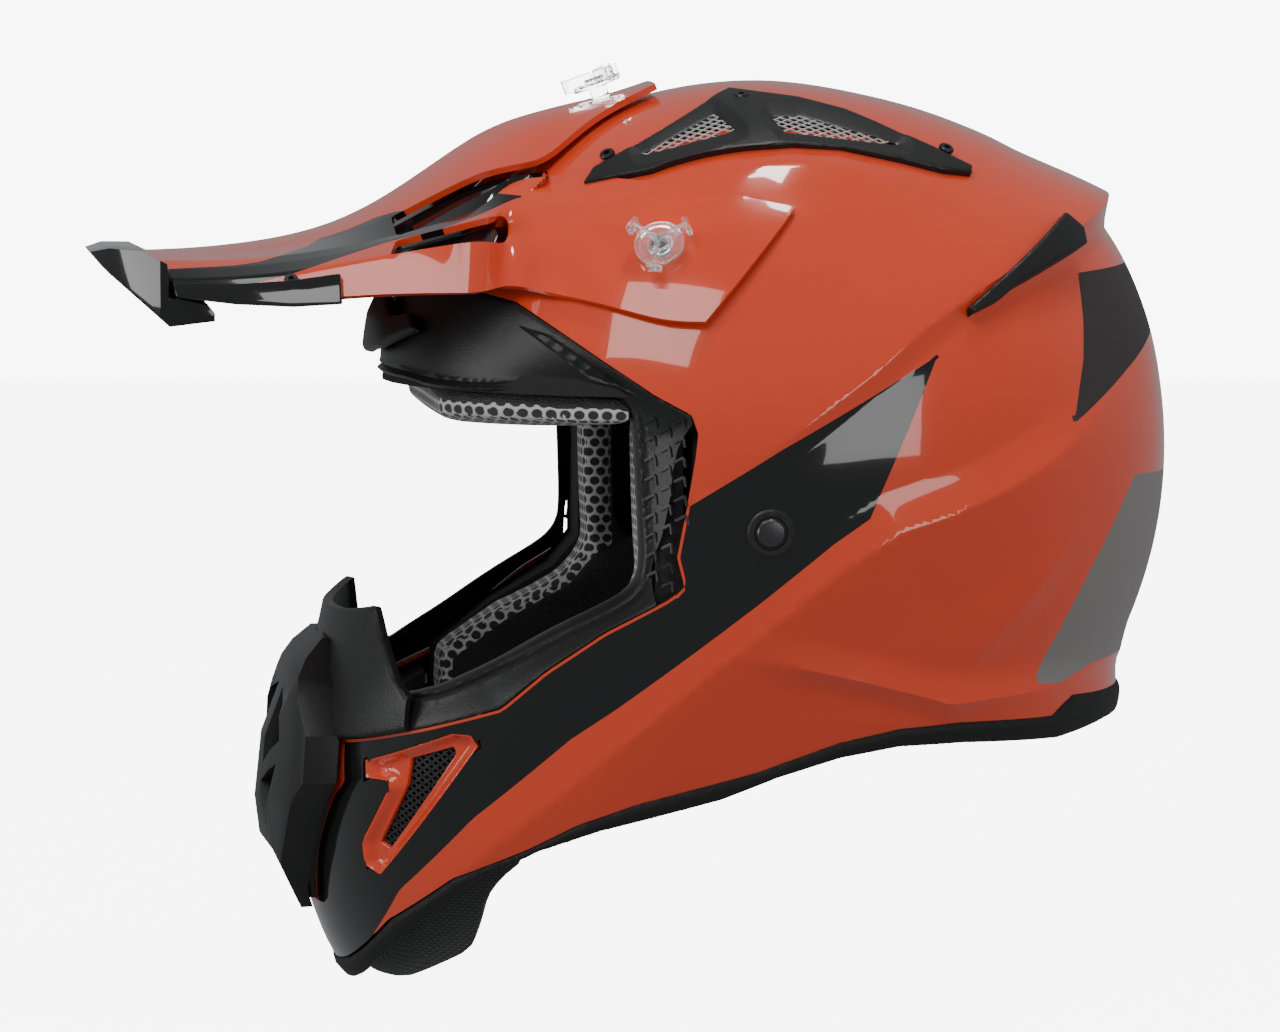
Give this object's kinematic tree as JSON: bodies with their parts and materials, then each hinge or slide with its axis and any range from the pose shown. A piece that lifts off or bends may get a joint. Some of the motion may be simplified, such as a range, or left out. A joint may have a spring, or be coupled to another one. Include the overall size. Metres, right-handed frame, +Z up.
{
  "type": "motocross helmet",
  "caption": "Full-face off-road helmet with an open eyeport, adjustable peak held by thumb screws, vented chin bar, removable linings and a buckled chin strap.",
  "frame": {"origin": "centre of the head cavity on the plane of symmetry", "axes": "-Y is the way the wearer looks, +Z up as worn, +X the wearer's left"},
  "size_m": [0.2556, 0.371, 0.3135],
  "materials": {
    "orange_paint": "glossy orange lacquer over moulded shell plastic",
    "satin_black": "fine-grained satin black moulding",
    "trim_rubber": "matt black edge rubber",
    "impact_foam": "beaded impact foam, dark",
    "lining_fabric": "brushed black lining with grey spacer mesh edges",
    "curtain_fabric": "black coated cloth",
    "webbing": "ribbed black webbing",
    "clear_plastic": "clear moulded plastic",
    "wire_mesh": "expanded wire mesh",
    "plated_steel": "zinc plated",
    "rivet_metal": "darkened steel",
    "black_screw": "black oxide"
  },
  "bodies": {
    "helmet": {"bottom_trim": "trim_rubber", "brow_pad": "lining_fabric", "brow_vent": "satin_black", "cheek_foam_left": "impact_foam", "cheek_foam_right": "impact_foam", "cheek_pad_left": "lining_fabric", "cheek_pad_right": "lining_fabric", "chin_bar_foam": "impact_foam", "chin_curtain": "curtain_fabric", "chin_vent_mesh_left": "wire_mesh", "chin_vent_mesh_right": "wire_mesh", "crown_pad": "lining_fabric", "eyeport_trim": "satin_black", "impact_liner": "impact_foam", "mouth_vent_base": "satin_black", "mouth_vent_cover": "satin_black", "mouth_vent_mesh": "wire_mesh", "neck_roll": "lining_fabric", "nose_guard": "satin_black", "outer_shell": "orange_paint", "rear_vent_cover_left": "satin_black", "rear_vent_cover_right": "satin_black", "rivet_cap_left": "rivet_metal", "rivet_cap_right": "rivet_metal", "rivet_washer_left": "satin_black", "rivet_washer_right": "satin_black", "strap_pin_left": "plated_steel", "strap_pin_right": "plated_steel", "strap_plate_left": "plated_steel", "strap_plate_right": "plated_steel", "threaded_insert_left": "plated_steel", "threaded_insert_right": "plated_steel", "threaded_insert_top": "plated_steel", "top_vent_frame_left": "satin_black", "top_vent_frame_right": "satin_black", "top_vent_mesh_front_left": "wire_mesh", "top_vent_mesh_front_right": "wire_mesh", "top_vent_mesh_rear_left": "wire_mesh", "top_vent_mesh_rear_right": "wire_mesh", "vent_screw_front_left": "black_screw", "vent_screw_front_right": "black_screw", "vent_screw_middle_left": "black_screw", "vent_screw_middle_right": "black_screw", "vent_screw_rear_left": "black_screw", "vent_screw_rear_right": "black_screw"},
    "peak_body": {"peak": "orange_paint", "peak_tip_insert": "satin_black", "peak_side_insert_left": "satin_black", "peak_side_insert_right": "satin_black", "peak_screw_left": "black_screw", "peak_screw_right": "black_screw"},
    "knob_left": {"peak_knob_left": "clear_plastic"},
    "knob_right": {"peak_knob_right": "clear_plastic"},
    "knob_top": {"peak_knob_top": "clear_plastic"},
    "chin_strap": {"strap_short": "webbing", "strap_long": "webbing"},
    "buckle_ring_1": {"d_ring_1": "plated_steel"},
    "buckle_ring_2": {"d_ring_2": "plated_steel"}
  },
  "joints": [
    {"name": "peak_tilt", "type": "hinge", "parent": "helmet", "child": "peak_body", "pos_m": [0, -0.047, 0.054], "axis": [1, 0, 0], "range_deg": [-5, 5]},
    {"name": "knob_left_turn", "type": "hinge", "parent": "helmet", "child": "knob_left", "pos_m": [0.09556, -0.047, 0.054], "axis": [0.7686, -0.278, 0.5762], "continuous": true},
    {"name": "knob_right_turn", "type": "hinge", "parent": "helmet", "child": "knob_right", "pos_m": [-0.09556, -0.047, 0.054], "axis": [-0.7686, -0.278, 0.5762], "continuous": true},
    {"name": "knob_top_turn", "type": "hinge", "parent": "helmet", "child": "knob_top", "pos_m": [0, -0.053, 0.10049], "axis": [0, -0.3451, 0.9386], "continuous": true},
    {"name": "strap_swing", "type": "hinge", "parent": "helmet", "child": "chin_strap", "pos_m": [0, -0.016, -0.105], "axis": [1, 0, 0], "range_deg": [-12, 12]},
    {"name": "ring_1_tilt", "type": "hinge", "parent": "chin_strap", "child": "buckle_ring_1", "pos_m": [0.0574, -0.0515, -0.1276], "axis": [0, 1, 0], "range_deg": [-15, 15]},
    {"name": "ring_2_tilt", "type": "hinge", "parent": "chin_strap", "child": "buckle_ring_2", "pos_m": [0.0456, -0.0549, -0.1286], "axis": [0, 1, 0], "range_deg": [-15, 15]}
  ]
}
